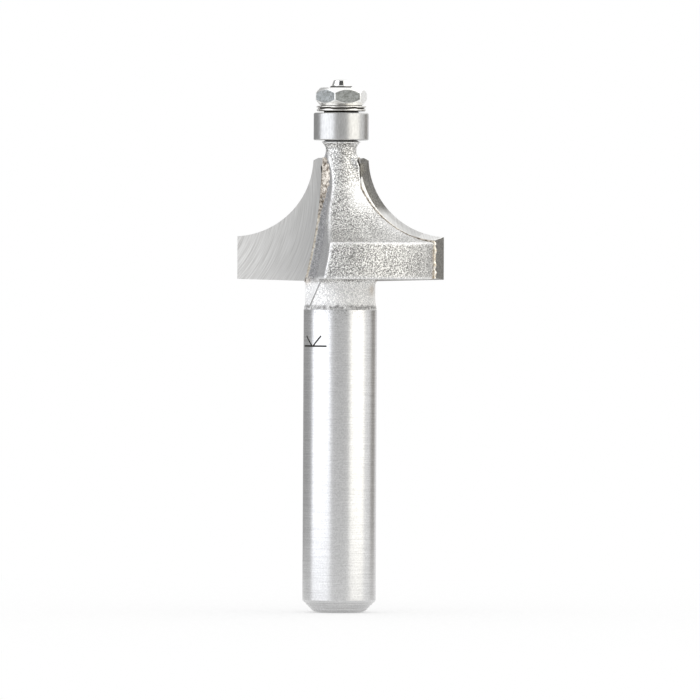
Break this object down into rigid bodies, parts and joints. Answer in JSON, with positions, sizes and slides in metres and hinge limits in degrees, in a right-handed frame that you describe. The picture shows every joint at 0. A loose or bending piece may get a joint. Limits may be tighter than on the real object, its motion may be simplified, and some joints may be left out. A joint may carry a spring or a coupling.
{
  "type": "router bit",
  "caption": "Round-shank cove cutter for a hand router, with brazed carbide tips on steel wings and a ball-bearing pilot under a small hex nut.",
  "frame": {"origin": "centre of the shank's end face, on the bit's axis", "axes": "+Z along the axis from shank to pilot bearing; the wings point along -X and +X, and the cutting face of the -X wing looks along -Y"},
  "size_m": [0.0178, 0.0164, 0.0461],
  "materials": {
    "tool_steel": "ground bright shank, grit-blasted head",
    "tungsten_carbide": "fine ground",
    "silver_braze": "as brazed, slightly stained",
    "bearing_steel": "fine ground",
    "cage_brass": "pressed",
    "shield_steel": "pressed sheet",
    "washer_steel": "zinc plated",
    "nut_steel": "turned, zinc plated",
    "ball_steel": "lapped"
  },
  "bodies": {
    "cutter": {"cutter_body": "tool_steel", "carbide_tip_a": "tungsten_carbide", "carbide_tip_b": "tungsten_carbide", "braze_a": "silver_braze", "braze_b": "silver_braze", "bearing_inner_ring": "bearing_steel", "spacer_washer": "washer_steel", "lock_washer": "washer_steel", "hex_nut": "nut_steel"},
    "bearing_outer": {"bearing_outer_ring": "bearing_steel", "bearing_shield_top": "shield_steel", "bearing_shield_bottom": "shield_steel"},
    "ball_train": {"bearing_cage": "cage_brass", "bearing_ball_1": "ball_steel", "bearing_ball_2": "ball_steel", "bearing_ball_3": "ball_steel", "bearing_ball_4": "ball_steel", "bearing_ball_5": "ball_steel", "bearing_ball_6": "ball_steel", "bearing_ball_7": "ball_steel"}
  },
  "joints": [
    {"name": "bearing_spin", "type": "hinge", "parent": "cutter", "child": "bearing_outer", "pos_m": [0, 0, 0.04202], "axis": [0, 0, 1], "continuous": true},
    {"name": "ball_train_spin", "type": "hinge", "parent": "cutter", "child": "ball_train", "pos_m": [0, 0, 0.04202], "axis": [0, 0, 1], "continuous": true}
  ],
  "couplings": [
    {"joint": "ball_train_spin", "follows": "bearing_spin", "ratio": 0.6106}
  ]
}
